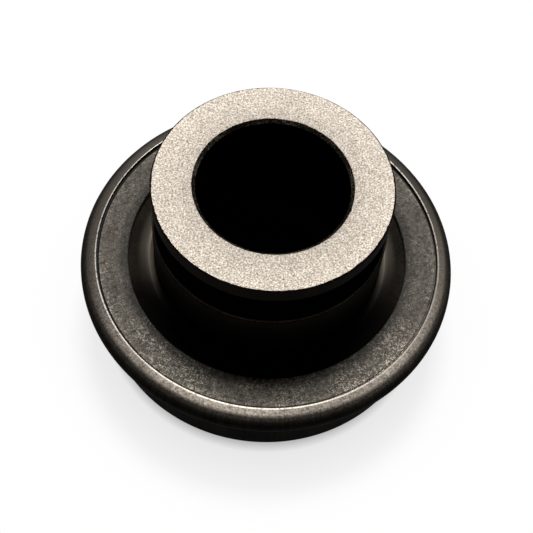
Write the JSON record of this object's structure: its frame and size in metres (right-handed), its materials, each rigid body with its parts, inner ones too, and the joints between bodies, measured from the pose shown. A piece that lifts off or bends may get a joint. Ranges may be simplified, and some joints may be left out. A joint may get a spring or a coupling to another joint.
{
  "type": "clutch release bearing",
  "caption": "Clutch release bearing: a fork-grooved sliding collar held in a rolled steel shell, with a flat thrust ring that spins on caged balls.",
  "frame": {"origin": "centre of the thrust face, on the bearing's axis, where the part stands", "axes": "+Z along the axis from the thrust face to the collar's ground top face; X and Y are free"},
  "size_m": [0.091, 0.091, 0.055],
  "materials": {
    "sintered_iron": "sintered and steam blackened, top face ground bright",
    "plate_steel": "stamped, dull, finely speckled",
    "shell_steel": "drawn and rolled, satin",
    "race_steel": "hardened and ground",
    "ball_steel": "hardened and lapped",
    "cage_polyamide": "moulded, glass filled",
    "seal_rubber": "moulded nitrile rubber"
  },
  "bodies": {
    "collar_unit": {"collar": "sintered_iron", "back_plate": "plate_steel", "shell": "shell_steel", "outer_race": "race_steel", "front_seal": "seal_rubber", "rear_seal": "seal_rubber"},
    "thrust": {"thrust_ring": "race_steel"},
    "ball_set": {"ball_cage": "cage_polyamide", "ball_1": "ball_steel", "ball_2": "ball_steel", "ball_3": "ball_steel", "ball_4": "ball_steel", "ball_5": "ball_steel", "ball_6": "ball_steel", "ball_7": "ball_steel", "ball_8": "ball_steel", "ball_9": "ball_steel", "ball_10": "ball_steel", "ball_11": "ball_steel", "ball_12": "ball_steel", "ball_13": "ball_steel", "ball_14": "ball_steel", "ball_15": "ball_steel", "ball_16": "ball_steel", "ball_17": "ball_steel", "ball_18": "ball_steel"}
  },
  "joints": [
    {"name": "thrust_spin", "type": "hinge", "parent": "collar_unit", "child": "thrust", "pos_m": [0, 0, 0], "axis": [0, 0, 1], "continuous": true},
    {"name": "cage_orbit", "type": "hinge", "parent": "collar_unit", "child": "ball_set", "pos_m": [0, 0, 0], "axis": [0, 0, 1], "continuous": true}
  ],
  "couplings": [
    {"joint": "cage_orbit", "follows": "thrust_spin", "ratio": 0.449}
  ]
}
